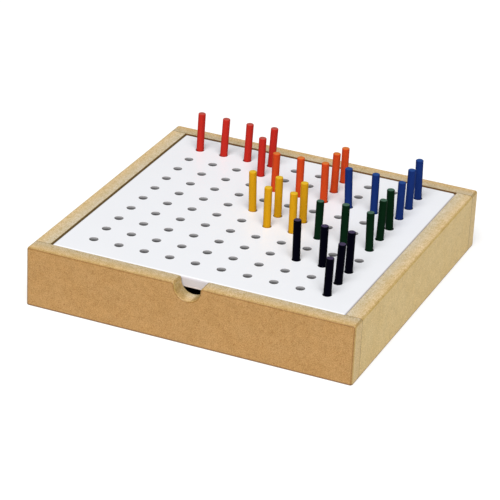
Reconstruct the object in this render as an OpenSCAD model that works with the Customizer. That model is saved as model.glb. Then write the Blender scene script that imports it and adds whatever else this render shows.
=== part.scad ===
// Pattern peg board in a square fibreboard tray.
// Four butt-jointed walls, pinned by hidden dowels, stand around a bottom panel. Two rails
// glued to the side walls carry a lift-out board: a drilled layer with a square grid of
// holes, and a thin backing glued under it that closes them. Thirty round pegs, five of each
// colour, stand in the holes. A round-bottomed notch in the front wall lets a finger lift the
// board out.
// The origin is the centre of the underside, +Z is up and the notched wall faces -Y.

/* [Tray] */
// Outside width and depth of the square tray
box_w = 301; // [290:1:340]
// Height of the walls
wall_h = 55; // [50:0.5:80]
// Thickness of the walls
wall_t = 15; // [12:0.5:18]
// Radius of the sanded top edges and upright corners
edge_r = 2.5; // [1:0.5:4]
// Radius of the sanded bottom edges
foot_r = 1; // [0.5:0.5:2]
// Thickness of the bottom panel
bottom_t = 5; // [3:0.5:8]
// How far the bottom panel runs in under the walls
rebate_w = 7; // [4:0.5:8]
// Radius of the bottom of the finger notch
notch_r = 12; // [10:0.5:18]
// Radius of the rounded shoulders of the notch
shoulder_r = 2.5; // [1:0.5:4]
// Width of the rails that carry the board
rail_w = 12; // [8:1:16]
// Height of the rails that carry the board
rail_h = 20; // [10:1:25]

/* [Board] */
// Thickness of the board, with its backing
board_t = 9.5; // [9:0.5:12]
// Thickness of the backing sheet that closes the holes
backing_t = 1.5; // [1:0.5:3]
// Gap between the board and each wall
board_gap = 1; // [0.5:0.5:2]
// How far the board lies below the top of the walls
board_recess = 0.5; // [0:0.5:3]
// Radius of the board's top edges
board_edge_r = 2; // [0.5:0.5:2.5]
// Holes along each side of the grid
grid_n = 10; // [10:1:10]
// Distance between neighbouring holes
pitch = 24; // [22:0.5:25]
// Diameter of a peg hole
hole_d = 8; // [8:0.1:9]

/* [Pegs] */
// Diameter of a peg
peg_d = 6.9; // [5.5:0.1:7]
// Length of the longest pegs
peg_l = 45.5; // [35:0.5:60]
// Radius of the rounded top rim of a peg
peg_rim_r = 0.8; // [0.2:0.1:1.5]
// Chamfer at the foot of a peg
peg_chamfer = 0.5; // [0.2:0.1:1]

/* [Dowels] */
// Diameter of a corner dowel
dowel_d = 8; // [6:1:8]
// Length of a corner dowel
dowel_l = 30; // [25:1:40]
// How deep a dowel sits in the front or back wall
dowel_in_wall = 10; // [8:0.5:11]

/* [Hidden] */
$fn = 64;
// Radial room for glue around a dowel, and at each of its ends
glue_gap = 0.05;
// How far a cutting shape passes the face that it cuts
past = 1;

inner_w = box_w - 2 * wall_t;
board_w = inner_w - 2 * board_gap;
panel_w = inner_w + 2 * rebate_w;
panel_gap = 0.5;
board_z = wall_h - board_recess - board_t;
hole_floor_z = board_z + backing_t;
hole_depth = board_t - backing_t;
dowel_heights = [wall_h * 0.3, wall_h * 0.72];

// Pegs lean a little in their loose holes, to one side or the other along this bearing
lean_bearing = 22.5;

// One row for each colour: name, colour, and [column, row, lean in degrees, how much
// shorter than peg_l it is cut] for each peg. Columns count from the left and rows from the
// front, both from 0.
SETS = [
    ["red", [0.80, 0.10, 0.10],
     [[0, 9, 1, 0.5], [1, 9, 2, 1], [2, 9, 1.5, 1], [3, 9, 2, 0], [3, 8, 0.5, 0.5]]],
    ["orange", [0.90, 0.32, 0.08],
     [[4, 7, 0.5, 1], [5, 7, 0, 0], [6, 7, -0.5, 0], [6, 8, 1, 0], [6, 9, 0, 4]]],
    ["yellow", [0.93, 0.68, 0.10],
     [[4, 5, -2, 0], [5, 5, -0.5, 0], [6, 5, -0.5, 0], [5, 4, -0.5, 0], [6, 4, -0.5, 0]]],
    ["blue", [0.12, 0.26, 0.62],
     [[7, 7, -2.5, 0], [8, 7, -0.5, 0], [9, 7, 0.5, 2.5], [9, 8, 0.5, 0], [9, 9, -1.5, 0]]],
    ["green", [0.05, 0.30, 0.16],
     [[7, 4, 0.5, 2], [8, 4, 0, 0], [9, 4, -1.5, 2], [9, 5, 1.5, 0], [9, 6, -1.5, 0]]],
    ["purple", [0.12, 0.07, 0.20],
     [[7, 2, -1, 0], [8, 2, 0, 0], [9, 2, 0.5, 0], [9, 1, 2, 1], [9, 0, 1, 3.5]]],
];
// Every peg as [node name, colour, place]
PEGS = [for (set = SETS) for (i = [0 : len(set[2]) - 1])
    [str("peg_", set[0], "_", i + 1), set[1], set[2][i]]];

wall_colour = [0.80, 0.66, 0.46];
panel_colour = [0.66, 0.52, 0.36];
rail_colour = [0.87, 0.74, 0.54];
board_colour = [0.94, 0.94, 0.96];

// What a radius takes off a square corner. sx and sy, 1 or -1, say which way it points.
module corner_waste(r, sx, sy) {
    mirror([sx < 0 ? 1 : 0, 0])
        mirror([0, sy < 0 ? 1 : 0])
            difference() {
                square(r + past);
                circle(r);
            }
}

// A square of side w with rounded corners, centred on the origin
module rounded_square(w, r) {
    difference() {
        square(w, center = true);
        for (sx = [-1, 1], sy = [-1, 1])
            translate([sx * (w / 2 - r), sy * (w / 2 - r)])
                corner_waste(r, sx, sy);
    }
}

// Upright cross-section w wide and h high, standing on y = 0
module edge_profile(w, h, top_r, bottom_r) {
    difference() {
        translate([-w / 2, 0])
            square([w, h]);
        for (sx = [-1, 1]) {
            translate([sx * (w / 2 - top_r), h - top_r])
                corner_waste(top_r, sx, 1);
            translate([sx * (w / 2 - bottom_r), bottom_r])
                corner_waste(bottom_r, sx, -1);
        }
    }
}

// A square slab standing on z = 0, w wide and h high, with softened edges
module softened_slab(w, h, corner_r, top_r, bottom_r) {
    intersection() {
        linear_extrude(height = h)
            rounded_square(w, corner_r);
        for (turn = [0, 90])
            rotate([90, 0, turn])
                linear_extrude(height = w + 2 * past, center = true)
                    edge_profile(w, h, top_r, bottom_r);
    }
}

// A square block w wide from z0 to z1, centred on the z axis
module block(w, z0, z1) {
    translate([-w / 2, -w / 2, z0])
        cube([w, w, z1 - z0]);
}

// All four walls as one ring, with the rebate for the bottom panel
module wall_ring() {
    difference() {
        softened_slab(box_w, wall_h, edge_r, edge_r, foot_r);
        block(inner_w, -past, wall_h + past);
        block(panel_w, -past, bottom_t);
    }
}

// The strip of the ring across its whole width: side is -1 at the front and 1 at the back
module cross_wall(side) {
    intersection() {
        wall_ring();
        translate([-box_w, side > 0 ? inner_w / 2 : -box_w, -past])
            cube([2 * box_w, box_w - inner_w / 2, wall_h + 2 * past]);
    }
}

// The strip between the front and back walls: side is -1 at the left and 1 at the right
module side_wall(side) {
    intersection() {
        wall_ring();
        translate([side > 0 ? inner_w / 2 : -box_w, -inner_w / 2, -past])
            cube([box_w - inner_w / 2, inner_w, wall_h + 2 * past]);
    }
}

// Dowels at all four corners, lying along Y. room is added all round and at both ends.
module dowels(room) {
    for (sx = [-1, 1], sy = [-1, 1], z = dowel_heights)
        translate([sx * (box_w - wall_t) / 2, sy * (inner_w / 2 + dowel_in_wall + room), z])
            rotate([90 * sy, 0, 0])
                cylinder(d = dowel_d + 2 * room, h = dowel_l + 2 * room);
}

// Outline of the finger notch, measured from the middle of the wall's top edge. Below the
// rounded shoulders it is as wide as the circle that ends it.
module notch_outline() {
    reach = notch_r + shoulder_r;
    translate([0, -shoulder_r])
        circle(notch_r);
    difference() {
        translate([-reach, -shoulder_r])
            square([2 * reach, shoulder_r + past]);
        for (side = [-1, 1])
            translate([side * reach, -shoulder_r])
                circle(shoulder_r);
    }
}

module front_wall() {
    color(wall_colour)
        difference() {
            cross_wall(-1);
            dowels(glue_gap);
            translate([0, -inner_w / 2 + past, wall_h])
                rotate([90, 0, 0])
                    linear_extrude(height = wall_t + 2 * past)
                        notch_outline();
        }
}

module back_wall() {
    color(wall_colour)
        difference() {
            cross_wall(1);
            dowels(glue_gap);
        }
}

module left_wall() {
    color(wall_colour)
        difference() {
            side_wall(-1);
            dowels(glue_gap);
        }
}

module right_wall() {
    color(wall_colour)
        difference() {
            side_wall(1);
            dowels(glue_gap);
        }
}

// The panel lies in the walls' rebate, flush with their underside
module bottom_panel() {
    color(panel_colour)
        block(panel_w - 2 * panel_gap, 0, bottom_t);
}

// A straight strip glued to a side wall: side is -1 at the left and 1 at the right
module rail(side) {
    color(rail_colour)
        translate([side > 0 ? inner_w / 2 - rail_w : -inner_w / 2,
                   -inner_w / 2 + panel_gap, board_z - rail_h])
            cube([rail_w, inner_w - 2 * panel_gap, rail_h]);
}

module corner_dowels() {
    color(rail_colour)
        dowels(0);
}

// Place of a grid point, with column and row counted from 0
function grid_at(column, row) =
    [(column - (grid_n - 1) / 2) * pitch, (row - (grid_n - 1) / 2) * pitch];

// Both layers of the board, before they are parted and drilled
module board_blank() {
    translate([0, 0, board_z])
        softened_slab(board_w, board_t, board_edge_r, board_edge_r, foot_r / 2);
}

// The drilled layer, with every hole right through it
module peg_board() {
    color(board_colour)
        difference() {
            board_blank();
            block(box_w, board_z - past, hole_floor_z);
            for (column = [0 : grid_n - 1], row = [0 : grid_n - 1])
                translate(concat(grid_at(column, row), hole_floor_z - past))
                    cylinder(d = hole_d, h = hole_depth + 2 * past);
        }
}

// The sheet glued under the drilled layer, which the pegs stand on
module board_backing() {
    color(board_colour)
        difference() {
            board_blank();
            block(box_w, hole_floor_z, wall_h + past);
        }
}

// A turned peg of length l standing on z = 0, with a rounded rim and a chamfered foot
module turned_peg(l) {
    rotate_extrude()
        difference() {
            square([peg_d / 2, l]);
            translate([peg_d / 2 - peg_rim_r, l - peg_rim_r])
                corner_waste(peg_rim_r, 1, 1);
            translate([peg_d / 2 - peg_chamfer, 0])
                polygon([[0, 0], [peg_chamfer, peg_chamfer], [past, peg_chamfer],
                         [past, -past], [0, -past]]);
        }
}

// A peg in its hole. A leaning peg touches the backing with one side of its foot.
module peg(colour, place) {
    lean = place[2];
    foot_lift = (peg_d / 2 - peg_chamfer) * sin(abs(lean));
    color(colour)
        translate(concat(grid_at(place[0], place[1]), hole_floor_z + foot_lift))
            rotate([0, 0, lean_bearing])
                rotate([0, lean, 0])
                    turned_peg(peg_l - place[3]);
}

front_wall();
back_wall();
left_wall();
right_wall();
bottom_panel();
rail(-1);  // left_rail
rail(1);  // right_rail
corner_dowels();
peg_board();
board_backing();
for (p = PEGS)
    peg(p[1], p[2]);
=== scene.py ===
"""Looks of the pattern peg board: a fibreboard tray, a drilled white board and thirty pegs.

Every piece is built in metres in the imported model's frame. Places and overall sizes come from
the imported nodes. The grid of holes, the radii and other details are the named values below.
"""

import math
import random

import bmesh
import bpy
import numpy as np
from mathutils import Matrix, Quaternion, Vector


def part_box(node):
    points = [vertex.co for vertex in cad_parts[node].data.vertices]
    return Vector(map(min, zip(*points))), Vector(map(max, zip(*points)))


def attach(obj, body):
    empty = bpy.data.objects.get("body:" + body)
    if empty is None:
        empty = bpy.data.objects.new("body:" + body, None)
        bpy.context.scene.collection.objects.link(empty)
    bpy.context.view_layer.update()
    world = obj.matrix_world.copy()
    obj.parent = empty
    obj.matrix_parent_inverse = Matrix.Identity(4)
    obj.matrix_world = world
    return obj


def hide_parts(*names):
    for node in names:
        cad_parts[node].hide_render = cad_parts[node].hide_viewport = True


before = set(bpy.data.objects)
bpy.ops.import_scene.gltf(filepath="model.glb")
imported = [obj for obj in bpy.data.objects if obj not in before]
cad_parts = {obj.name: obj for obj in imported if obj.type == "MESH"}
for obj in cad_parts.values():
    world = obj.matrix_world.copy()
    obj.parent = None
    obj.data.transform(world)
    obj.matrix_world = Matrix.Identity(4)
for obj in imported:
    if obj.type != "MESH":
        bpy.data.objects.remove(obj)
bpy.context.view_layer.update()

MM = 0.001

# Tray
EDGE_R = 2.5 * MM  # sanded top edges and upright corners
FOOT_R = 1.0 * MM  # sanded bottom edges
EASED_R = 0.3 * MM  # sawn edges that only had their sharpness taken off
RAIL_EDGE_R = 0.6 * MM
NOTCH_R = 12 * MM
SHOULDER_R = 2.5 * MM
NOTCH_EDGE_R = 1.75 * MM  # rounding around the notch's own edge
NOTCH_BLEND = 5 * MM  # length over which the top edge's rounding eases into the notch's
REBATE_W = 7 * MM
REBATE_H = 5 * MM
DOWEL_LENGTH = 30 * MM
DOWEL_GAP = 0.05 * MM  # glue line around a dowel
DOWEL_HOLE_STEPS = 32
DOWEL_FLUTES = 16
DOWEL_FLUTE_DEPTH = 0.25 * MM
DOWEL_CHAMFER = 0.8 * MM

# Board
GRID = 10  # holes along each side
PITCH = 24 * MM
HOLE_R = 4 * MM
HOLE_RIM_R = 0.25 * MM
HOLE_STEPS = 48  # a multiple of four, because each hole's cell has four sides
BOARD_EDGE_R = 2 * MM
BOARD_FOOT_R = 0.5 * MM
GLUE_LINE_R = 0.12 * MM  # softened edges where the drilled layer meets its backing

# Pegs
PEG_R = 3.45 * MM
PEG_RIM_R = 0.8 * MM
PEG_CHAMFER = 0.5 * MM  # at the foot
PEG_EASE = 0.05 * MM  # how far inside the side the chamfer ends, before it eases out
PEG_CROWN = 0.06 * MM  # how far the middle of a peg's top stands above its rim
PEG_TURNING = 0.03 * MM  # how much the turned radius wanders along a peg
PEG_STEPS = 48
PEG_SHEEN = 0.015  # how strongly the stained wood reflects, where 0.5 is plain varnish

# Dirt and painted shade on the tray, as reaches in millimetres
INSIDE_REACH = 0.1  # how far the painted shade of the inside reaches round the inner edges
JOINT_REACH = 0.4  # half the width of the grimy line along a glued joint
FOOT_DARK, FOOT_LIT = 0.8, 2.2  # heights between which the painted contact shadow at the foot fades

# Painted shade down a hole: the depths in millimetres between which the wall darkens
SHADE_START_DEPTH, SHADE_FULL_DEPTH = 0.5, 3.8
DEEP_SHADE_TONE = 0.2  # how light the wall stays below that

FILLET_STEPS = 6
HOLE_RIM_STEPS = 4
SHOULDER_STEPS = 8
NOTCH_STEPS = 20
SHARP_ANGLE = 40  # degrees between faces from which an edge is shaded sharp
MERGE_DISTANCE = 1e-7  # points of a mesh that are this close are one point
TOLERANCE = 1e-6  # allows for rounding when a place or a bearing is tested
QUARTER = [math.radians(90 * i / FILLET_STEPS) for i in range(FILLET_STEPS + 1)]

chance = random.Random(30)


# ---------------------------------------------------------------- mesh building


def arc(centre, radius, start, end, near, far=EASED_R, hollow=False, steps=FILLET_STEPS):
    """Outline points along an arc, as (point, outward direction, near radius, far radius).

    start and end are in degrees. near is one radius, or a pair that it eases between.
    """
    near_start, near_end = near if isinstance(near, tuple) else (near, near)
    points = []
    for i in range(steps + 1):
        share = i / steps
        angle = math.radians(start + (end - start) * share)
        spoke = np.array([math.cos(angle), math.sin(angle)])
        eased = share * share * (3 - 2 * share)
        points.append(
            (
                np.array(centre) + radius * spoke,
                -spoke if hollow else spoke,
                near_start + (near_end - near_start) * eased,
                far,
            )
        )
    return points


def stretch(start, end, outward, near, far=EASED_R, steps=5):
    """Outline points along a straight line on which the near rounding eases between a pair."""
    points = []
    for i in range(steps + 1):
        share = i / steps
        eased = share * share * (3 - 2 * share)
        points.append(
            (
                np.array(start) + (np.array(end) - np.array(start)) * share,
                np.array(outward, float),
                near[0] + (near[1] - near[0]) * eased,
                far,
            )
        )
    return points


def mirrored(outline):
    """The outline's mirror image in its first axis, run the other way."""
    flip = np.array([-1, 1])
    return [(p * flip, n * flip, near, far) for p, n, near, far in reversed(outline)]


def add_rim(bm, outline, near_level, far_level, place, closed=True):
    """Adds the rounded rim of a plate, and returns its rings of vertices from near to far.

    The outline runs round the plate. place turns (across, up, through) into a point, and the
    plate lies between the near and the far level of through.
    """
    inward = math.copysign(1, far_level - near_level)
    levels = [(angle, 2, near_level, inward) for angle in reversed(QUARTER)]
    levels += [(angle, 3, far_level, -inward) for angle in QUARTER]
    rings = []
    for angle, which, level, inward in levels:
        ring = []
        for stop in outline:
            point = stop[0] - stop[1] * stop[which] * (1 - math.cos(angle))
            through = level + inward * stop[which] * (1 - math.sin(angle))
            ring.append(bm.verts.new(place(point[0], point[1], through)))
        rings.append(ring)
    join_rings(bm, rings, closed)
    return rings


def join_rings(bm, rings, closed=True):
    """Joins each ring of vertices to the next one with faces."""
    for ring, after in zip(rings, rings[1:]):
        for i in range(0 if closed else 1, len(ring)):
            bm.faces.new([ring[i - 1], ring[i], after[i], after[i - 1]])


def add_plate(bm, outline, near_level, far_level, place):
    """Adds a plate with rounded edges and closed faces, as add_rim describes it."""
    rings = add_rim(bm, outline, near_level, far_level, place)
    bm.faces.new(rings[0])
    bm.faces.new(rings[-1])


def piece_from(bm, name, materials):
    """Makes an object of a bmesh, merged and with outward normals, and frees the bmesh."""
    bmesh.ops.remove_doubles(bm, verts=bm.verts, dist=MERGE_DISTANCE)
    bmesh.ops.recalc_face_normals(bm, faces=bm.faces)
    mesh = bpy.data.meshes.new(name)
    bm.to_mesh(mesh)
    bm.free()
    made = bpy.data.objects.new(name, mesh)
    bpy.context.scene.collection.objects.link(made)
    for material in materials:
        mesh.materials.append(material)
    return made


def smooth(made):
    """Smooth shading that keeps flat faces flat and sharp edges sharp."""
    made.data.shade_smooth()
    made.data.set_sharp_from_angle(angle=math.radians(SHARP_ANGLE))
    weighted = made.modifiers.new("weighted_normals", "WEIGHTED_NORMAL")
    weighted.keep_sharp = True
    return made


def cut(made, cutter):
    """Takes the cutter object out of a piece, and removes the cutter."""
    boolean = made.modifiers.new("cut", "BOOLEAN")
    boolean.operation = "DIFFERENCE"
    boolean.solver = "EXACT"
    boolean.object = cutter
    bpy.context.view_layer.update()
    evaluated = made.evaluated_get(bpy.context.evaluated_depsgraph_get())
    mesh = bpy.data.meshes.new_from_object(evaluated)
    made.modifiers.clear()
    made.data = mesh
    bpy.data.objects.remove(cutter)
    return made


def add_box(bm, low, high):
    """Adds a sharp-edged box, used only to cut with."""
    corners = [
        bm.verts.new((x, y, z)) for x in (low[0], high[0]) for y in (low[1], high[1])
        for z in (low[2], high[2])
    ]
    faces = ((0, 1, 3, 2), (4, 6, 7, 5), (0, 4, 5, 1), (2, 3, 7, 6), (0, 2, 6, 4), (1, 5, 7, 3))
    for face in faces:
        bm.faces.new([corners[i] for i in face])


def add_lathe(bm, profile, foot, axis, steps, radius_at=None):
    """Turns a profile of (radius, height) pairs about an axis that starts at foot.

    radius_at(radius, turn) may change the radius around the turn, as a flute does.
    """
    axis = Vector(axis).normalized()
    across = axis.orthogonal().normalized()
    along = axis.cross(across)
    rings = []
    for radius, height in profile:
        centre = Vector(foot) + axis * height
        if radius == 0:
            rings.append([bm.verts.new(centre)])
            continue
        ring = []
        for i in range(steps):
            turn = 2 * math.pi * i / steps
            r = radius_at(radius, turn) if radius_at else radius
            spoke = across * math.cos(turn) + along * math.sin(turn)
            ring.append(bm.verts.new(centre + r * spoke))
        rings.append(ring)
    for ring, after in zip(rings, rings[1:]):
        for i in range(steps):
            j = (i + 1) % steps
            corners = [ring[i % len(ring)], ring[j % len(ring)]]
            corners += [after[j % len(after)], after[i % len(after)]]
            bm.faces.new(list(dict.fromkeys(corners)))


# ---------------------------------------------------------------- materials


class Shader:
    """A procedural material under construction. Sockets and plain numbers mix freely."""

    def __init__(self, name):
        self.material = bpy.data.materials.new(name)
        self.material.use_nodes = True
        self.nodes = self.material.node_tree.nodes
        self.links = self.material.node_tree.links
        self.surface = self.nodes["Principled BSDF"]
        place = self.nodes.new("ShaderNodeTexCoord")
        self.millimetres = self.vector("SCALE", place.outputs["Object"], scale=1000)
        self.normal = place.outputs["Normal"]

    def feed(self, socket, value):
        """Links a socket, or sets a number or colour on it."""
        if isinstance(value, bpy.types.NodeSocket):
            self.links.new(value, socket)
        elif isinstance(value, tuple) and len(value) == 3 and len(socket.default_value) == 4:
            socket.default_value = (*value, 1)
        else:
            socket.default_value = value

    def math(self, operation, first, second=0.0, clamp=False):
        node = self.nodes.new("ShaderNodeMath")
        node.operation = operation
        node.use_clamp = clamp
        self.feed(node.inputs[0], first)
        self.feed(node.inputs[1], second)
        return node.outputs[0]

    def vector(self, operation, first, second=None, scale=None):
        node = self.nodes.new("ShaderNodeVectorMath")
        node.operation = operation
        self.feed(node.inputs[0], first)
        if second is not None:
            self.feed(node.inputs[1], second)
        if scale is not None:
            self.feed(node.inputs["Scale"], scale)
        return node.outputs["Vector"]

    def mix(self, share, first, second, mode="MIX"):
        node = self.nodes.new("ShaderNodeMix")
        node.data_type = "RGBA"
        node.blend_type = mode
        self.feed(node.inputs["Factor"], share)
        colours = [socket for socket in node.inputs if socket.type == "RGBA"]
        self.feed(colours[0], first)
        self.feed(colours[1], second)
        return next(socket for socket in node.outputs if socket.type == "RGBA")

    def span(self, value, low, high, out_low=0.0, out_high=1.0):
        """Maps low..high to out_low..out_high, held beyond both, with an eased middle."""
        node = self.nodes.new("ShaderNodeMapRange")
        node.interpolation_type = "SMOOTHSTEP"
        self.feed(node.inputs["Value"], value)
        self.feed(node.inputs["From Min"], low)
        self.feed(node.inputs["From Max"], high)
        self.feed(node.inputs["To Min"], out_low)
        self.feed(node.inputs["To Max"], out_high)
        return node.outputs["Result"]

    def noise(self, size, detail=3.0, roughness=0.55, stretched=(1, 1, 1), distortion=0.0):
        """Noise from 0 to 1 whose blotches are about size millimetres wide."""
        node = self.nodes.new("ShaderNodeTexNoise")
        node.inputs["Scale"].default_value = 1 / size
        node.inputs["Detail"].default_value = detail
        node.inputs["Roughness"].default_value = roughness
        node.inputs["Distortion"].default_value = distortion
        where = self.vector("MULTIPLY", self.millimetres, tuple(stretched))
        self.links.new(where, node.inputs["Vector"])
        return node.outputs["Fac"]

    def split(self, value):
        node = self.nodes.new("ShaderNodeSeparateXYZ")
        self.links.new(value, node.inputs["Vector"])
        return node.outputs

    def blend(self, *terms):
        """The sum of (weight, value) terms."""
        total = 0.0
        for weight, value in terms:
            total = self.math("ADD", self.math("MULTIPLY", value, weight), total)
        return total

    def grey(self, value):
        """A grey whose three channels are all the value."""
        node = self.nodes.new("ShaderNodeCombineColor")
        for channel in ("Red", "Green", "Blue"):
            self.links.new(value, node.inputs[channel])
        return node.outputs["Color"]

    def finish(self, colour, roughness, height, **settings):
        """Wires the colour, roughness and height in metres; settings go on the shader itself."""
        self.feed(self.surface.inputs["Base Color"], colour)
        self.feed(self.surface.inputs["Roughness"], roughness)
        bump = self.nodes.new("ShaderNodeBump")
        bump.inputs["Distance"].default_value = 1
        self.feed(bump.inputs["Height"], height)
        self.links.new(bump.outputs["Normal"], self.surface.inputs["Normal"])
        for socket, value in settings.items():
            self.feed(self.surface.inputs[socket.replace("_", " ")], value)
        return self.material


def fibreboard(name, skin, core, broad_axis, edge_shade):
    """Varnished medium-density fibreboard. Its broad faces have the pressed skin.

    broad_axis is the axis, 0 to 2, that the broad faces look along. core has three colours for
    the sawn edges: on top beside the board, on top at the outside, and on the upright ends; the
    top's shift from the first to the second is painted shade. The fifth argument, 0 to 1, is how
    much darker the roundings are painted: painted shade along the edges. Faces inside the tray
    are darkened as painted shade, grime marks the glued joints, and the foot is darkened as a
    painted contact shadow.
    """
    s = Shader(name)
    sides = [s.math("ABSOLUTE", out) for out in s.split(s.normal)]
    largest = s.math("MAXIMUM", s.math("MAXIMUM", sides[0], sides[1]), sides[2])
    broad = s.span(sides[broad_axis], 0.6, 0.8)
    rounded = s.span(largest, 0.9, 0.997, 1.0, 0.0)
    place = [s.math("ABSOLUTE", out) for out in s.split(s.millimetres)]
    away = place[broad_axis]
    inner, outer = inner_half / MM, half_w / MM
    # Painted shade: the faces inside the tray are darkened, for the shade in the gap beside the
    # board.
    gap_shade = s.math("LESS_THAN", away, inner + INSIDE_REACH)
    outside = s.span(away, inner + 1, outer - 1)
    from_joint = s.math("ABSOLUTE", s.math("SUBTRACT", place[1], inner))
    joint = s.math(
        "MULTIPLY",
        s.math("LESS_THAN", from_joint, JOINT_REACH),
        s.math("GREATER_THAN", place[0], inner),
    )
    # Painted contact shadow: the foot is darkened below the height where it fades out.
    foot = s.span(place[2], FOOT_DARK, FOOT_LIT, 1.0, 0.0)
    upright = s.span(sides[2], 0.3, 0.7, 1.0, 0.0)
    # Painted shade: a wall's top eases from the first core colour beside the board to the more
    # orange second one at the outside, for the shading near the outer rounding.
    sawn = s.mix(upright, s.mix(outside, core[0], core[1]), core[2])
    colour = s.mix(broad, sawn, skin)
    cloud = s.noise(22, 2)
    mottle = s.noise(4.5, 3, 0.6, distortion=0.5)
    grain = s.noise(0.8, 2, 0.6, distortion=0.4)
    chips = s.span(s.noise(1.4, 1, 0.5, (1, 1, 0.8)), 0.60, 0.72)
    fibres = s.span(s.blend((0.85, grain), (0.15, mottle)), 0.33, 0.67)
    tint = s.mix(fibres, (0.76, 0.71, 0.45), (1.24, 1.29, 1.56))
    colour = s.mix(1.0, colour, tint, "MULTIPLY")
    hue = s.mix(s.span(cloud, 0.35, 0.65), (0.995, 0.98, 0.93), (1.005, 1.015, 1.05))
    colour = s.mix(1.0, colour, hue, "MULTIPLY")
    tone = s.math("ADD", s.blend((0.07, cloud), (0.16, mottle)), 0.885)
    colour = s.mix(1.0, colour, s.grey(tone), "MULTIPLY")
    chipped = s.mix(1.0, colour, (0.80, 0.68, 0.5), "MULTIPLY")
    colour = s.mix(s.math("MULTIPLY", chips, 0.7), colour, chipped)
    # Painted shade along the rounded edges. It also darkens the eased joints.
    shaded_rounding = s.mix(1.0, colour, (0.59, 0.515, 0.30), "MULTIPLY")
    colour = s.mix(s.math("MULTIPLY", rounded, edge_shade), colour, shaded_rounding)
    shaded_inside = s.mix(1.0, colour, (0.45, 0.41, 0.37), "MULTIPLY")
    colour = s.mix(gap_shade, colour, shaded_inside)
    # The joints' grime is dirt. The foot's darkening is a painted contact shadow.
    grimy_or_shaded = s.mix(1.0, colour, (0.46, 0.38, 0.28), "MULTIPLY")
    joint_grime_and_foot_shade = s.math("MAXIMUM", s.math("MULTIPLY", joint, 0.85), s.math("MULTIPLY", foot, 0.9))
    colour = s.mix(joint_grime_and_foot_shade, colour, grimy_or_shaded)
    roughness = s.math("ADD", s.blend((0.14, grain), (0.10, mottle), (0.3, gap_shade)), 0.38)
    height = s.math("MULTIPLY", s.blend((1.0, grain), (1.4, mottle), (2.0, cloud)), 0.035 * MM)
    return s.finish(colour, roughness, height, IOR=1.5)


def white_board(name, face, edge):
    """Satin white paint with a slight orange peel and a few faint scuffs.

    The upright edges are painted a darker grey than the faces, as painted shade.
    """
    s = Shader(name)
    # Painted shade: faces that look neither up nor down take the darker edge colour.
    level = s.span(s.math("ABSOLUTE", s.split(s.normal)[2]), 0.55, 1.0)
    cloud = s.noise(40, 2)
    peel = s.noise(1.6, 2, 0.5)
    scuff = s.noise(9, 4, 0.6, (1, 0.18, 1), 0.8)
    tone = s.math("ADD", s.blend((0.03, cloud), (0.03, peel)), 0.97)
    colour = s.mix(1.0, s.mix(level, edge, face), s.grey(tone), "MULTIPLY")
    roughness = s.math("ADD", s.blend((0.12, scuff), (0.06, cloud)), 0.24)
    height = s.math("MULTIPLY", s.blend((1.0, peel), (3.0, cloud)), 0.006 * MM)
    return s.finish(colour, roughness, height, IOR=1.5)


def drilled_wall(name, base, mouth_level):
    """The wall of a drilled hole, with painted shade that darkens it more and more below its
    mouth.

    mouth_level is the height of the hole's mouth in millimetres.
    """
    s = Shader(name)
    rings = s.noise(0.8, 2, 0.5, (0.15, 0.15, 2.5))
    fuzz = s.noise(0.5, 3, 0.7)
    depth = s.math("SUBTRACT", mouth_level, s.split(s.millimetres)[2])
    # Painted shade: the wall darkens with depth below the mouth.
    depth_shade = s.span(s.math("ADD", depth, fuzz), SHADE_START_DEPTH, SHADE_FULL_DEPTH, 1.0, DEEP_SHADE_TONE)
    tone = s.math("ADD", s.blend((0.14, rings), (0.16, fuzz)), 0.84)
    colour = s.mix(1.0, base, s.grey(s.math("MULTIPLY", tone, depth_shade)), "MULTIPLY")
    height = s.math("MULTIPLY", s.blend((1.0, rings), (1.0, fuzz)), 0.02 * MM)
    roughness = s.math("ADD", s.blend((0.2, fuzz)), 0.6)
    return s.finish(colour, roughness, height, Specular_IOR_Level=0.2)


def peg_paint(name, side, end):
    """Stained birch. The cut ends are lighter than the sides: partly the stain taking
    differently, partly a painted sheen for the light the tops reflect.
    """
    s = Shader(name)
    upright = s.math("ABSOLUTE", s.split(s.normal)[2])
    # Partly painted sheen: the tops take the lighter end colour.
    top = s.span(upright, 0.75, 0.97)
    rim = s.math("MULTIPLY", s.span(upright, 0.2, 0.6), s.span(upright, 0.7, 0.95, 1.0, 0.0))
    grain = s.noise(0.9, 3, 0.6, (1, 1, 0.06), 0.3)
    streak = s.noise(3.0, 2, 0.5, (1, 1, 0.05))
    pores = s.noise(0.45, 2, 0.6)
    tone = s.math("ADD", s.blend((0.26, grain), (0.22, streak)), 0.76)
    sides = s.mix(1.0, side, s.grey(tone), "MULTIPLY")
    speckle = s.math("ADD", s.blend((0.5, pores), (0.25, streak)), 0.62)
    ends = s.mix(1.0, end, s.grey(speckle), "MULTIPLY")
    colour = s.mix(top, sides, ends)
    worn = tuple(min(1.0, c * 1.3 + 0.01) for c in side)
    colour = s.mix(s.math("MULTIPLY", rim, 0.3), colour, worn)
    roughness = s.math("ADD", s.blend((0.14, grain), (0.12, top)), 0.42)
    height = s.math("MULTIPLY", s.blend((1.0, grain), (0.8, pores)), 0.015 * MM)
    return s.finish(colour, roughness, height, Specular_IOR_Level=PEG_SHEEN)


def sawn_wood(name, pale, dark, along):
    """Planed softwood or beech. along is the axis, 0 to 2, that its grain runs along."""
    s = Shader(name)
    squeeze = [1.0, 1.0, 1.0]
    squeeze[along] = 0.05
    bands = s.noise(5, 3, 0.5, squeeze, 1.4)
    grain = s.noise(0.7, 3, 0.6, squeeze)
    share = s.span(s.blend((0.7, bands), (0.3, grain)), 0.35, 0.68)
    colour = s.mix(share, pale, dark)
    roughness = s.math("ADD", s.blend((0.2, grain)), 0.5)
    height = s.math("MULTIPLY", s.blend((1.0, grain), (1.0, bands)), 0.03 * MM)
    return s.finish(colour, roughness, height)


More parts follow.
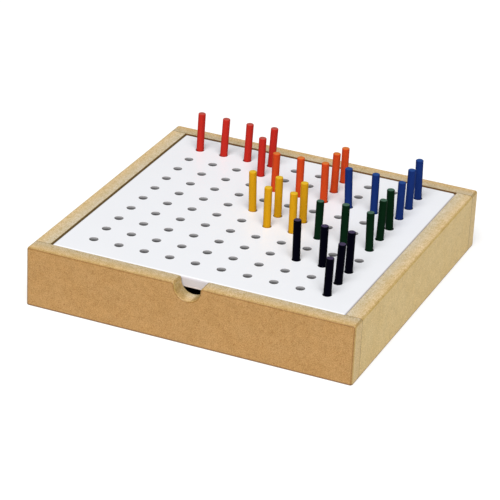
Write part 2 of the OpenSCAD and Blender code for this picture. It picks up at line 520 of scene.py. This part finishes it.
# Colours are linear. What each of a core's three is for, fibreboard says.
CROSS_CORE = ((0.543, 0.437, 0.273), (0.624, 0.428, 0.196), (0.577, 0.403, 0.148))
SIDE_CORE = ((0.61, 0.51, 0.34), (0.68, 0.50, 0.26), (0.577, 0.403, 0.148))
FRONT_SKIN = (0.382, 0.205, 0.0575)
# The side walls' skin is lighter and paler than the cross walls': in part painted light, for the
# brighter light and sheen on the right face.
SIDE_SKIN = (0.61, 0.43, 0.145)
BOARD_WHITE = (0.86, 0.87, 0.90)
PEG_COLOURS = {  # the side's colour and the cut end's, which is lighter partly as a painted sheen
    "red": ((0.47, 0.023, 0.015), (0.43, 0.085, 0.065)),
    "orange": ((0.55, 0.056, 0.012), (0.60, 0.17, 0.038)),
    "yellow": ((0.58, 0.285, 0.0075), (0.67, 0.43, 0.032)),
    "blue": ((0.008, 0.026, 0.14), (0.021, 0.064, 0.225)),
    "green": ((0.002, 0.0145, 0.005), (0.065, 0.125, 0.09)),
    "purple": ((0.0006, 0.0006, 0.0035), (0.055, 0.042, 0.085)),
}

front_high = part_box("front_wall")[1]
wall_h = front_high.z
half_w = front_high.x
inner_half = -front_high.y

cross_fibreboard = fibreboard("cross_wall_fibreboard", FRONT_SKIN, CROSS_CORE, 1, 0.8)
side_fibreboard = fibreboard("side_wall_fibreboard", SIDE_SKIN, SIDE_CORE, 0, 0.45)
panel_fibreboard = sawn_wood("panel_fibreboard", (0.46, 0.31, 0.16), (0.38, 0.24, 0.11), 0)
# Each board's second colour is its edges', darkened as painted shade.
board_paint = white_board("board_paint", BOARD_WHITE, (0.58, 0.55, 0.57))
board_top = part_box("peg_board")[1].z
# The holes' walls are a grey of the board's white paint, as painted shade for the dim inside of
# the holes.
hole_paint = drilled_wall("hole_paint", (0.54, 0.53, 0.54), board_top / MM)
backing_paint = white_board("backing_paint", BOARD_WHITE, (0.66, 0.60, 0.60))
rail_wood = sawn_wood("rail_wood", (0.78, 0.60, 0.36), (0.58, 0.38, 0.19), 1)
dowel_wood = sawn_wood("dowel_wood", (0.74, 0.55, 0.36), (0.60, 0.42, 0.25), 1)


# ---------------------------------------------------------------- tray


def dowel_places(room):
    """(middle of the outer end, direction, length) for each corner dowel, grown by room."""
    low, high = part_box("corner_dowels")
    wall_middle = (half_w + inner_half) / 2
    radius = high.x - wall_middle
    length = DOWEL_LENGTH + 2 * room
    places = []
    for x in (low.x + radius, high.x - radius):
        for z in (low.z + radius, high.z - radius):
            places.append((Vector((x, low.y - room, z)), Vector((0, 1, 0)), length))
            places.append((Vector((x, high.y + room, z)), Vector((0, -1, 0)), length))
    return places, radius


def dowel_cutter(bm):
    places, radius = dowel_places(DOWEL_GAP)
    r = radius + DOWEL_GAP
    for foot, axis, length in places:
        profile = [(0, 0), (r, 0), (r, length), (0, length)]
        add_lathe(bm, profile, foot, axis, DOWEL_HOLE_STEPS)


def wall_profile():
    """Half of the outline of a plain cross wall, from the top of its foot to its top edge."""
    upright = [(np.array((half_w, FOOT_R)), np.array((1, 0)), EDGE_R, EASED_R)]
    return upright + arc((half_w - EDGE_R, wall_h - EDGE_R), EDGE_R, 0, 90, EDGE_R)


def notch_profile():
    """Half of the finger notch's outline, from where the top edge nears it to its bottom."""
    level = wall_h - SHOULDER_R
    reach = NOTCH_R + SHOULDER_R
    shoulder_near = SHOULDER_R * 0.9
    outline = stretch(
        (reach + NOTCH_BLEND, wall_h), (reach, wall_h), (0, 1), (EDGE_R, shoulder_near)
    )
    outline += arc(
        (reach, level), SHOULDER_R, 90, 180, (shoulder_near, NOTCH_EDGE_R), steps=SHOULDER_STEPS
    )
    return outline + arc(
        (0, level), NOTCH_R, 0, -90, NOTCH_EDGE_R, hollow=True, steps=NOTCH_STEPS
    )


def close_foot(bm, rings, side):
    """Rounds a cross wall's lower outside edges, then closes its two faces and its underside.

    rings are the open rims from add_rim, each from the foot at +X over the top to that at -X.
    """
    path = [(ring[0], 1) for ring in reversed(rings)] + [(ring[-1], -1) for ring in rings]
    spokes = [(math.cos(a), math.sin(a)) for a in reversed(QUARTER)] + [(1, 0)] * len(QUARTER)
    spokes = spokes[::-1] + spokes
    rows = [[vert for vert, end in path]]
    for angle in QUARTER[1:]:
        drawn_in = FOOT_R * (1 - math.cos(angle))
        level = FOOT_R * (1 - math.sin(angle))
        row = []
        for (vert, end), spoke in zip(path, spokes):
            x = vert.co.x - end * spoke[0] * drawn_in
            y = vert.co.y - side * spoke[1] * drawn_in
            row.append(bm.verts.new((x, y, level)))
        rows.append(row)
    join_rings(bm, rows, closed=False)
    bm.faces.new(rings[0])
    bm.faces.new(rings[-1] + [row[-1] for row in rows[1:]] + [row[0] for row in rows[:0:-1]])
    bm.faces.new(rows[-1])


def cross_wall(name, node, side, notched):
    """A wall that runs the tray's whole width: side is -1 at the front and 1 at the back."""
    half = wall_profile()
    if notched:
        half += notch_profile()
    bm = bmesh.new()
    rings = add_rim(
        bm, half + mirrored(half), side * half_w, side * inner_half,
        lambda across, up, through: (across, through, up), closed=False,
    )
    close_foot(bm, rings, side)
    made = piece_from(bm, name, [cross_fibreboard])
    bm = bmesh.new()
    panel_half = inner_half + REBATE_W
    add_box(bm, (-panel_half, -panel_half, -REBATE_H), (panel_half, panel_half, REBATE_H))
    dowel_cutter(bm)
    cut(made, piece_from(bm, "cutter", []))
    smooth(made)
    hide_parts(node)
    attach(made, "tray")
    return made


def side_wall(name, node, side):
    """A wall between the front and back ones: side is -1 at the left and 1 at the right."""
    panel_half = inner_half + REBATE_W
    outline = arc((half_w - FOOT_R, FOOT_R), FOOT_R, -90, 0, EASED_R)
    outline += arc((half_w - EDGE_R, wall_h - EDGE_R), EDGE_R, 0, 90, EASED_R)
    outline += arc((inner_half + EASED_R, wall_h - EASED_R), EASED_R, 90, 180, EASED_R)
    outline += arc((inner_half + EASED_R, REBATE_H + EASED_R), EASED_R, 180, 270, EASED_R)
    outline += arc(
        (panel_half - EASED_R, REBATE_H - EASED_R), EASED_R, 90, 0, EASED_R, hollow=True
    )
    outline += arc((panel_half + EASED_R, EASED_R), EASED_R, 180, 270, EASED_R)
    bm = bmesh.new()
    add_plate(
        bm, outline, -inner_half, inner_half,
        lambda across, up, through: (side * across, through, up),
    )
    made = piece_from(bm, name, [side_fibreboard])
    bm = bmesh.new()
    dowel_cutter(bm)
    cut(made, piece_from(bm, "cutter", []))
    smooth(made)
    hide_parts(node)
    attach(made, "tray")
    return made


def square_outline(half_x, half_y, corner_r, near, far):
    """Outline of a rectangle in plan, with rounded corners."""
    right = arc((half_x - corner_r, corner_r - half_y), corner_r, -90, 0, near, far)
    right += arc((half_x - corner_r, half_y - corner_r), corner_r, 0, 90, near, far)
    return right + mirrored(right)


def in_plan(x, y, through):
    return (x, y, through)


def plain_slab(name, node, material, body, radius):
    """A flat or straight piece with softened edges that fills its node's box."""
    low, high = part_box(node)
    middle = (low + high) / 2
    bm = bmesh.new()
    outline = square_outline((high.x - low.x) / 2, (high.y - low.y) / 2, radius, radius, radius)
    add_plate(
        bm, outline, high.z, low.z,
        lambda x, y, through: (middle.x + x, middle.y + y, through),
    )
    made = smooth(piece_from(bm, name, [material]))
    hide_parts(node)
    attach(made, body)
    return made


def fluted_dowels():
    places, radius = dowel_places(0)
    bm = bmesh.new()
    profile_r = radius - DOWEL_CHAMFER
    for foot, axis, length in places:
        profile = [
            (0, 0), (profile_r, 0), (radius, DOWEL_CHAMFER),
            (radius, length - DOWEL_CHAMFER), (profile_r, length), (0, length),
        ]
        add_lathe(
            bm, profile, foot, axis, DOWEL_FLUTES * 4,
            lambda r, turn: r - DOWEL_FLUTE_DEPTH * (0.5 - 0.5 * math.cos(DOWEL_FLUTES * turn)),
        )
    made = smooth(piece_from(bm, "fluted_dowels", [dowel_wood]))
    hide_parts("corner_dowels")
    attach(made, "tray")
    return made


cross_wall("notched_front", "front_wall", -1, True)
cross_wall("plain_back", "back_wall", 1, False)
side_wall("left_side", "left_wall", -1)
side_wall("right_side", "right_wall", 1)
plain_slab("base_panel", "bottom_panel", panel_fibreboard, "tray", EASED_R)
plain_slab("left_ledge", "left_rail", rail_wood, "tray", RAIL_EDGE_R)
plain_slab("right_ledge", "right_rail", rail_wood, "tray", RAIL_EDGE_R)
fluted_dowels()


# ---------------------------------------------------------------- board


def margin(bm, inner, outer):
    """Joins the square of cells to the board's rim with one flat face on each side."""
    for side in range(4):
        facing = math.radians(90 * side)

        def bearing(vert):
            turn = math.atan2(vert.co.y, vert.co.x) - facing
            return (turn + math.pi) % (2 * math.pi) - math.pi

        def on_side(verts):
            """The points of one side in order, each once, with both of its corners."""
            reach = math.radians(45) + TOLERANCE
            found = {}
            for v in verts:
                if abs(bearing(v)) < reach:
                    found.setdefault((round(v.co.x, 6), round(v.co.y, 6)), v)
            return sorted(found.values(), key=bearing)

        bm.faces.new(on_side(inner) + on_side(outer)[::-1])


def drilled_board():
    low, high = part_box("peg_board")
    bm = bmesh.new()
    outline = square_outline(high.x, high.y, BOARD_EDGE_R, BOARD_EDGE_R, GLUE_LINE_R)
    rim = add_rim(bm, outline, high.z, low.z, in_plan)
    quarter = HOLE_STEPS // 4
    fillet = [math.radians(90 * i / HOLE_RIM_STEPS) for i in range(HOLE_RIM_STEPS + 1)]
    profile = [
        (HOLE_R + HOLE_RIM_R * (1 - math.sin(a)), high.z - HOLE_RIM_R * (1 - math.cos(a)))
        for a in fillet
    ]
    profile.append((HOLE_R, low.z))
    turns = [math.radians(45 + 360 * i / HOLE_STEPS) for i in range(HOLE_STEPS)]
    corners = [(1, 1), (-1, 1), (-1, -1), (1, -1), (1, 1)]
    frame_points = []
    for i in range(HOLE_STEPS):
        start, end = corners[i // quarter], corners[i // quarter + 1]
        share = (i % quarter) / quarter
        frame_points.append(
            tuple(PITCH / 2 * (a + (b - a) * share) for a, b in zip(start, end))
        )
    edge_half = GRID * PITCH / 2
    boundary = {high.z: [], low.z: []}
    for column in range(GRID):
        for row in range(GRID):
            x = (column - (GRID - 1) / 2) * PITCH
            y = (row - (GRID - 1) / 2) * PITCH
            cell = {
                z: [bm.verts.new((x + dx, y + dy, z)) for dx, dy in frame_points]
                for z in (high.z, low.z)
            }
            rings = [cell[high.z]]
            for radius, z in profile:
                rings.append(
                    [
                        bm.verts.new((x + radius * math.cos(t), y + radius * math.sin(t), z))
                        for t in turns
                    ]
                )
            rings.append(cell[low.z])
            for depth, (ring, after) in enumerate(zip(rings, rings[1:])):
                for i in range(HOLE_STEPS):
                    j = (i + 1) % HOLE_STEPS
                    face = bm.faces.new([ring[i], ring[j], after[j], after[i]])
                    face.material_index = 1 if depth == len(profile) - 1 else 0
            for z, verts in cell.items():
                boundary[z] += [
                    v for v in verts if max(abs(v.co.x), abs(v.co.y)) > edge_half - TOLERANCE
                ]
    margin(bm, boundary[high.z], rim[0])
    margin(bm, boundary[low.z], rim[-1])
    made = smooth(piece_from(bm, "drilled_board", [board_paint, hole_paint]))
    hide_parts("peg_board")
    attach(made, "board")
    return made


def backing_sheet():
    low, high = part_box("board_backing")
    bm = bmesh.new()
    outline = square_outline(high.x, high.y, BOARD_EDGE_R, GLUE_LINE_R, BOARD_FOOT_R)
    add_plate(bm, outline, high.z, low.z, in_plan)
    made = smooth(piece_from(bm, "backing_sheet", [backing_paint]))
    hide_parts("board_backing")
    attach(made, "board")
    return made


drilled_board()
backing_sheet()


# ---------------------------------------------------------------- pegs


def peg_axis(node):
    """(foot, direction, length) of a peg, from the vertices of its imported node."""
    points = np.array([v.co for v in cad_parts[node].data.vertices])
    points = np.unique(points.round(6), axis=0)
    middle = points.mean(axis=0)
    direction = np.linalg.svd(points - middle)[2][0]
    direction *= math.copysign(1, direction[2])
    reach = (points - middle) @ direction
    foot = middle + direction * reach.min()
    return Vector(foot), Vector(direction), reach.max() - reach.min()


def turned_peg(name, node, material):
    foot, axis, length = peg_axis(node)
    shoulder = length - PEG_CROWN - PEG_RIM_R
    profile = [(0, 0), (PEG_R - PEG_CHAMFER, 0), (PEG_R - PEG_EASE, PEG_CHAMFER * 0.8)]
    profile.append((PEG_R, PEG_CHAMFER * 1.5))
    for share in (0.25, 0.5, 0.75):
        profile.append((PEG_R - chance.uniform(0, PEG_TURNING), length * share))
    profile += [
        (PEG_R - PEG_RIM_R * (1 - math.cos(a)), shoulder + PEG_RIM_R * math.sin(a))
        for a in QUARTER
    ]
    flat_r = PEG_R - PEG_RIM_R
    profile.append((flat_r * 0.6, length - PEG_CROWN * 0.4))
    profile.append((0, length))
    bm = bmesh.new()
    add_lathe(bm, profile, foot, axis, PEG_STEPS)
    made = smooth(piece_from(bm, name, [material]))
    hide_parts(node)
    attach(made, node)
    return made


for colour, (side, end) in PEG_COLOURS.items():
    paint = peg_paint(f"{colour}_peg_paint", side, end)
    for node in sorted(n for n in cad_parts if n.startswith(f"peg_{colour}_")):
        number = node.split("_")[-1]
        made = turned_peg(f"{colour}_peg_{number}", node, paint)


# ---------------------------------------------------------------- studio


FLOOR_GLOW = 0.5
FLOOR_TONE = 0.55
FLOOR_HALF = 4  # metres from the tray's middle to the floor's edge
FLOOR_GAP = 0.2 * MM  # the floor lies this far below the tray, so that their faces don't mix
SKY_STRENGTH = 0.12  # as a light
SKY_SEEN = 1.0  # as it looks to the camera


def add_floor():
    """A floor that glows a little, so that it stays white under the tray's soft shadow."""
    bm = bmesh.new()
    bmesh.ops.create_grid(bm, x_segments=1, y_segments=1, size=FLOOR_HALF)
    s = Shader("floor_white")
    cloud = s.noise(300, 2)
    tone = s.math("ADD", s.blend((0.02, cloud)), FLOOR_TONE)
    height = s.math("MULTIPLY", cloud, 0.01 * MM)
    material = s.finish(s.grey(tone), 0.8, height, Specular_IOR_Level=0.2)
    s.feed(s.surface.inputs["Emission Color"], (1.0, 1.0, 1.0))
    s.feed(s.surface.inputs["Emission Strength"], FLOOR_GLOW)
    floor = piece_from(bm, "floor", [material])
    floor.location.z = -FLOOR_GAP


def add_softbox(name, azimuth, elevation, distance, size, power):
    """A square area light that looks at the tray's middle. Azimuth 0 is in front of it."""
    a, e = math.radians(azimuth), math.radians(elevation)
    back = Vector((math.sin(a) * math.cos(e), -math.cos(a) * math.cos(e), math.sin(e)))
    data = bpy.data.lights.new(name, "AREA")
    data.size = size
    data.energy = power
    lamp = bpy.data.objects.new(name, data)
    lamp.location = back * distance
    lamp.rotation_euler = (-back).to_track_quat("-Z", "Y").to_euler()
    bpy.context.scene.collection.objects.link(lamp)


def add_sky():
    """A weak white sky that looks as white as the floor, where it shows past the floor's edge."""
    world = bpy.data.worlds.new("studio")
    world.use_nodes = True
    nodes, links = world.node_tree.nodes, world.node_tree.links
    seen = nodes.new("ShaderNodeLightPath")
    level = nodes.new("ShaderNodeMix")
    links.new(seen.outputs["Is Camera Ray"], level.inputs["Factor"])
    level.inputs["A"].default_value = SKY_STRENGTH
    level.inputs["B"].default_value = SKY_SEEN
    nodes["Background"].inputs["Color"].default_value = (1, 1, 1, 1)
    links.new(level.outputs["Result"], nodes["Background"].inputs["Strength"])
    bpy.context.scene.world = world


# The camera, as seen from the middle of the board's top, and where it looks
CAMERA_DISTANCE = 2.1703
CAMERA_AZIMUTH = 22.37
CAMERA_ELEVATION = 25.32
LOOK_AZIMUTH = 22.58
LOOK_DOWN = 26.07
CAMERA_ROLL = 2.84
CAMERA_LENS = 178.1


def add_camera():
    a, e = math.radians(CAMERA_AZIMUTH), math.radians(CAMERA_ELEVATION)
    offset = Vector((math.sin(a) * math.cos(e), -math.cos(a) * math.cos(e), math.sin(e)))
    a, e = math.radians(LOOK_AZIMUTH), math.radians(LOOK_DOWN)
    ahead = Vector((-math.sin(a) * math.cos(e), math.cos(a) * math.cos(e), -math.sin(e)))
    data = bpy.data.cameras.new("camera")
    data.sensor_width = 36
    data.lens = CAMERA_LENS
    camera = bpy.data.objects.new("camera", data)
    camera.location = Vector((0, 0, board_top)) + offset * CAMERA_DISTANCE
    level = ahead.to_track_quat("-Z", "Y")
    camera.rotation_mode = "QUATERNION"
    camera.rotation_quaternion = level @ Quaternion((0, 0, 1), math.radians(CAMERA_ROLL))
    bpy.context.scene.collection.objects.link(camera)
    bpy.context.scene.camera = camera


add_floor()
add_softbox("key", azimuth=16, elevation=55, distance=14, size=12, power=2900)
add_sky()
add_camera()
bpy.context.scene.view_settings.view_transform = "Standard"
